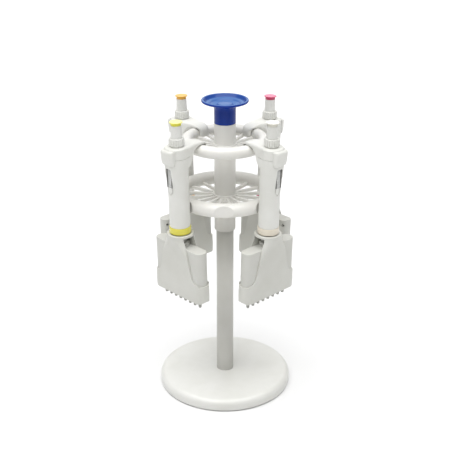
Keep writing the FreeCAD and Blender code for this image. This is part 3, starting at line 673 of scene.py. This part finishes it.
def makePlunger():
    radius, head, ring = rod["radius"], rod["head"], rod["collar"]
    end = stem["high"] + rod["tenonHeight"]
    shape = lathe("plunger", [
        (0, rod["headLow"]), (head, rod["headLow"], 0.4), (head, rod["headHigh"], 0.4),
        (radius, rod["headHigh"]), (radius, rod["collarLow"]), (ring, rod["collarLow"], 0.2),
        (ring, rod["collarHigh"], 0.2), (radius, rod["collarHigh"]), (radius, stem["low"]),
        (stem["lowRadius"], stem["low"], 0.3), (stem["lowRadius"], 219.0, 4.0),
        (stem["highRadius"], stem["high"]), (rod["tenon"], stem["high"]), (rod["tenon"], end, 0.3),
        (0, end)], 72)
    hangFour(shape, "plunger_stem", "stemWhite", "push_rod", "stem_white", "plunger")
    top = button["top"]
    low = stem["high"] + 0.05
    flange = button["flange"]
    cap = lathe("button", [
        (0, end + 0.05), (rod["tenon"] + 0.03, end + 0.05), (rod["tenon"] + 0.03, low),
        (button["skirt"], low, 0.25), (button["skirt"], top - 1.35, 0.6), (flange - 0.05, top - 1.0, 0.35),
        (flange, top, 0.45), (flange - 1.5, top, 0.8), (4.0, top - 0.45, 3.0), (0, top - 0.45)], 72)
    hangFour(cap, "button_cap", "Cap", "push_rod", "accent", "button")


thumb = {
    "reach": [(186.0, 16.7), (187.0, 17.4), (189.0, 18.0), (193.0, 18.7), (198.0, 19.3), (201.8, 19.45),
              (203.6, 19.1), (204.6, 18.0), (205.1, 16.9)],
    "half": [(186.0, 9.2), (187.0, 9.8), (190.0, 10.2), (198.0, 10.4), (203.4, 10.35), (204.6, 9.9),
             (205.1, 9.3)],
    "low": 186.0, "high": 205.1, "inner": 9.8, "hollow": 14.85, "shift": 1.6, "rodAcross": 9.75,
    "armLow": 194.0, "armHigh": 197.0,
}


def makeThumb():
    loops = []
    for height in stations(thumb["low"], thumb["high"], 26):
        reach = glide(thumb["reach"], height)[0]
        half = glide(thumb["half"], height)[0]
        loops.append([(x, y, height) for x, y in soften([(thumb["inner"], -half), (reach, -half, 5.2),
                                                         (reach, half, 5.2), (thumb["inner"], half)], 12)])
    block = skin("thumb", loops)
    hollow = lathe("hollow", [(0, 180), (thumb["hollow"], 180), (thumb["hollow"], 210), (0, 210)], 120)
    hollow.location = (thumb["shift"] * mm, 0, 0)
    bpy.context.view_layer.update()
    combine(block, [hollow])
    breakEdges(block, 0.3, 50)
    low, high = thumb["armLow"], thumb["armHigh"]
    arm = prism("arm", [(9.6, low), (17.0, low), (17.0, high), (9.6, high)], "Y", -3, 3)
    yoke = lathe("yoke", [(8.4, low), (10.9, low), (10.9, high), (8.4, high)], 64)
    pushRod = lathe("rod", [(0, 112.2), (1.1, 112.2, 0.3), (1.1, 195), (0, 195)], 24)
    for corner in pushRod.data.vertices:
        corner.co.y += thumb["rodAcross"] * mm
    join(block, [arm, yoke, pushRod])
    hangFour(block, "ejector_thumb", "handleWhite", "ejector", "pipette_white", "ejector_button")


collar = {"inside": 12.0, "radius": 13.5, "low": 94.9, "high": 102.95}


def makeCollar():
    shape = lathe("collar", [
        (collar["inside"], collar["low"]), (collar["radius"], collar["low"], 0.4),
        (collar["radius"], collar["high"], 0.5), (collar["inside"], collar["high"])], 96)
    hangFour(shape, "collar_band", "Band", "pipette", "accent", "collar_ring")


block = {"halfX": 8.35, "halfY": 42.2, "round": 7.6, "low": 12.3, "high": 78.0, "edge": 0.6, "neck": 8.0,
         "bore": 2.87}
vent = {"across": 38.2, "height": 71.0, "radius": 1.7, "floor": 4.0, "plugTop": 5.0, "slip": 0.04}
nozzle = {"count": 8, "pitch": 9.0, "radius": 2.03, "bore": 0.7, "top": 21.3}


def nozzlePlaces():
    return [nozzle["pitch"] * (index - (nozzle["count"] - 1) / 2) for index in range(nozzle["count"])]


def makeManifold():
    edge = block["edge"]
    levels = [(edge, block["low"]), (0, block["low"] + edge)]
    for share in (0, 0.35, 0.7, 1.0):
        drop = edge * (1 - math.sin(share * math.pi / 2))
        levels.append((edge * (1 - math.cos(share * math.pi / 2)), block["high"] - drop))
    loops = []
    for inset, height in levels:
        loops.append(roundLoop(block["halfX"] - inset, block["halfY"] - inset, block["round"] - inset,
                               height))
    body = skin("manifold", loops)
    bore, neckOut = block["bore"], block["neck"]
    neck = lathe("neck", [(bore, 76), (11, 76), (11, 83.4, 0.8), (neckOut, 83.4, 0.8), (neckOut, 125, 0.5),
                          (bore, 125)], 72)
    combine(body, [neck], "UNION")
    chamber = lathe("chamber", [(0, 38), (6.5, 38), (6.5, 76), (bore, 76), (bore, 127), (0, 127)], 48)
    cutters = [chamber]
    plugs = []
    for side in (-1, 1):
        spot = Matrix.Translation((0, side * vent["across"] * mm, vent["height"] * mm))
        aim = spot @ Matrix.Rotation(-math.pi / 2, 4, "Y")
        floor, radius = vent["floor"], vent["radius"]
        hole = lathe("vent_hole", [(0, floor), (radius, floor), (radius, 10), (0, 10)], 32)
        hole.matrix_world = aim
        cutters.append(hole)
        floor += 0.02
        radius -= vent["slip"]
        plug = lathe("vent_plug", [(0, floor), (radius, floor), (radius, vent["plugTop"], 0.2),
                                   (0, vent["plugTop"] - 0.2)], 32)
        plug.data.transform(aim)
        plugs.append(plug)
    for place in nozzlePlaces():
        radius, top = nozzle["radius"] + 0.01, nozzle["top"] + 0.1
        seat = lathe("seat", [(0, 10), (radius, 10), (radius, top), (0, top)], 24)
        seat.location = (0, place * mm, 0)
        cutters.append(seat)
    bpy.context.view_layer.update()
    combine(body, cutters)
    # painted shade: the block takes a darker copy of the handle's white
    hangFour(body, "manifold_block", "blockShadedWhite", "lower_part", "pipette_white", "manifold")
    hangFour(join(plugs[0], plugs[1:]), "vent_filters", "footRubber", "lower_part", "foot_rubber")


def makeNozzles():
    radius, bore, top = nozzle["radius"], nozzle["bore"], nozzle["top"]
    waist = radius - 0.22
    tips = []
    for place in nozzlePlaces():
        tip = lathe("nozzle", [(bore, 0.03), (radius - 0.35, 0.03, 0.15), (radius, 1.3, 0.4),
                               (radius, 3.1, 0.1), (waist, 3.25, 0.1), (waist, 3.7, 0.1),
                               (radius, 3.85, 0.1), (radius, top), (bore, top)], 32, 3)
        for corner in tip.data.vertices:
            corner.co.y += place * mm
        tips.append(tip)
    hangFour(join(tips[0], tips[1:]), "nozzle_row", "nozzleGrey", "lower_part", "nozzle_grey", "nozzles")


cover = {
    # height, half thickness, half length, corner radius
    "levels": [(9.3, 10.0, 43.8, 9.0), (35.5, 10.0, 43.8, 9.0), (50, 10.25, 38.0, 8.6),
               (63, 10.9, 30.0, 8.8), (77, 12.9, 22.6, 10.6), (86, 15.2, 18.0, 13.6),
               (91, 16.5, 16.8, 15.9), (94.0, 16.8, 16.81, 16.4)],
    "wall": 1.3, "end": 43.8, "shoulder": 35.5, "low": 9.3, "foot": 5.0,
    "cutSide": 8.5, "passage": 91.3, "bore": 8.3, "beyond": 60,
}


def coverLoop(height, inset):
    halfX, halfY, radius = glide(cover["levels"], height)
    return roundLoop(halfX - inset, halfY - inset, max(radius - inset, 1), height, 10)


def makeCover():
    wall, low = cover["wall"], cover["low"]
    outer = [coverLoop(low, 1.0), coverLoop(low + 0.35, 0.3), coverLoop(low + 1.2, 0)]
    outer += [coverLoop(height, 0) for height in (20, 35.4)]
    outer += [coverLoop(height, 0) for height in stations(36.5, 93.2, 44)]
    outer += [coverLoop(93.8, 0.25), coverLoop(94, 0.8)]
    shell = skin("cover", outer)
    inner = [coverLoop(low + 1.4, wall), coverLoop(35.4, wall)]
    inner += [coverLoop(height, wall) for height in stations(36.5, 91.6, 38)]
    combine(shell, [skin("hollow", inner)])
    # the ends are cut back to the two plates, with a round foot on each side
    cutters = []
    top, shoulder, beyond = cover["passage"], cover["shoulder"], cover["beyond"]
    edge, foot = cover["end"], cover["foot"]
    for side in (1, -1):
        away = [(15.4, top, 0.8), (20.6, 74), (28.4, 41.5, 6), (33.0, shoulder, 6), (beyond, shoulder),
                (beyond, top)]
        footRound = [(edge - 3 * foot, low - 3), (edge - 3 * foot, low), (edge, low, foot),
                     (edge, low + 3 * foot), (edge + 3, low + 3 * foot), (edge + 3, low - 3)]
        for name, outline, steps in (("away", away, 8), ("foot", footRound, 10)):
            corners = [(across * side, *others) for across, *others in outline]
            cutters.append(prism(name, corners, "X", -30, 30, steps))
    half, bore = cover["cutSide"], cover["bore"]
    through = [(-half, 33), (half, 33), (half, top, 0.8), (-half, top, 0.8)]
    cutters.append(prism("through", through, "Y", -beyond, beyond))
    cutters.append(lathe("bore", [(0, 60), (bore, 60), (bore, 100), (0, 100)], 72))
    cutters.append(lathe("seat", [(bore, 93.4), (13.9, 93.4, 0.3), (13.9, 96), (bore, 96)], 96))
    for place in nozzlePlaces():
        hole = lathe("hole", [(0, 7), (2.45, 7), (2.45, 12), (0, 12)], 24)
        hole.location = (0, place * mm, 0)
        cutters.append(hole)
    bpy.context.view_layer.update()
    for cutter in cutters:
        combine(shell, [cutter])
    breakEdges(shell, 0.5, 48, 2)
    sleeve = lathe("sleeve", [(bore, 92), (10.2, 92), (10.2, 112), (bore, 112)], 72)
    join(shell, [sleeve])
    hangFour(shell, "ejector_cover_shell", "coverWhite", "tip_ejector", "cover_white", "ejector_cover")


makeHandle()
print("handles made")
makeWindow()
makeDrum()
makeDial()
makePlunger()
makeThumb()
makeCollar()
print("controls made")
makeManifold()
makeNozzles()
makeCover()
print("lower parts made")

# pieces that keep their CAD shape

carried = {"base_weight": "castGrey", "base_feet": "footRubber", "base_bolt": "steel", "post_plug": "steel",
           "thrust_cap": "nylon"}
for colour in bearings:
    carried[f"{colour}_spring"] = "steel"
for nodeName, paint in carried.items():
    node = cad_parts[nodeName]
    node.data.materials.clear()
    node.data.materials.append(paints[paint])

# floor, light and camera

studio = {"reach": 80, "floor": 0.78, "room": 0.12, "overhead": 4.2, "spread": 75, "left": 0.9, "right": 0.5,
          "back": 14}


def softLight(name, place, aim, width, power):
    lamp = bpy.data.lights.new(name, "AREA")
    lamp.shape = "RECTANGLE"
    lamp.size = width[0]
    lamp.size_y = width[1]
    lamp.energy = power
    obj = bpy.data.objects.new(name, lamp)
    scene.collection.objects.link(obj)
    obj.location = place
    obj.rotation_euler = (Vector(aim) - Vector(place)).to_track_quat("-Z", "Y").to_euler()


def makeStudio():
    mesh = bpy.data.meshes.new("floor")
    reach = studio["reach"]
    mesh.from_pydata([(-reach, -reach, 0), (reach, -reach, 0), (reach, reach, 0), (-reach, reach, 0)], [],
                     [(0, 1, 2, 3)])
    floor = bpy.data.objects.new("floor", mesh)
    scene.collection.objects.link(floor)
    pale = (studio["floor"],) * 3
    material, nodes, links, shader = newMaterial("paper", pale)
    where = nodes.new("ShaderNodeTexCoord").outputs["Object"]
    clouds = noise(nodes, links, where, 2.0, 2)
    tint = nodes.new("ShaderNodeMix")
    tint.data_type = "RGBA"
    tint.inputs["A"].default_value = (*pale, 1)
    tint.inputs["B"].default_value = (*[shade * 0.99 for shade in pale], 1)
    links.new(clouds, tint.inputs["Factor"])
    links.new(tint.outputs["Result"], shader.inputs["Base Color"])
    shader.inputs["Roughness"].default_value = 0.9
    shader.inputs["Specular IOR Level"].default_value = 0.1
    mesh.materials.append(material)
    world = bpy.data.worlds.new("room")
    world.use_nodes = True
    room = world.node_tree.nodes["Background"]
    room.inputs["Color"].default_value = (1, 1, 1, 1)
    room.inputs["Strength"].default_value = studio["room"]
    scene.world = world
    sky = bpy.data.lights.new("overhead", "SUN")
    sky.energy = studio["overhead"]
    sky.angle = math.radians(studio["spread"])
    overhead = bpy.data.objects.new("overhead", sky)
    overhead.rotation_euler = (math.radians(11), math.radians(-3), 0)
    scene.collection.objects.link(overhead)
    softLight("left_box", (-1.3, -0.15, 0.6), (0, 0, 0.2), (0.6, 1.0), studio["left"])
    softLight("right_box", (1.3, 0.1, 0.6), (0, 0, 0.2), (0.6, 1.0), studio["right"])
    softLight("back_box", (0, 2.6, 1.5), (0, 0, 0.3), (3.4, 1.5), studio["back"])
    scene.view_settings.view_transform = "Standard"


lookout = {"distance": 1181.8, "height": 730.8, "pitch": 23.11, "turn": 1.0, "lens": 79.71}


def makeCamera():
    lens = bpy.data.cameras.new("camera")
    lens.lens = lookout["lens"]
    lens.sensor_width = 36.0
    lens.clip_start = 0.05
    camera = bpy.data.objects.new("camera", lens)
    scene.collection.objects.link(camera)
    turn = math.radians(lookout["turn"])
    reach = lookout["distance"] * mm
    camera.location = (reach * math.sin(turn), -reach * math.cos(turn), lookout["height"] * mm)
    camera.rotation_euler = (math.radians(90 - lookout["pitch"]), 0, turn)
    scene.camera = camera


makeStudio()
makeCamera()
print("studio made")
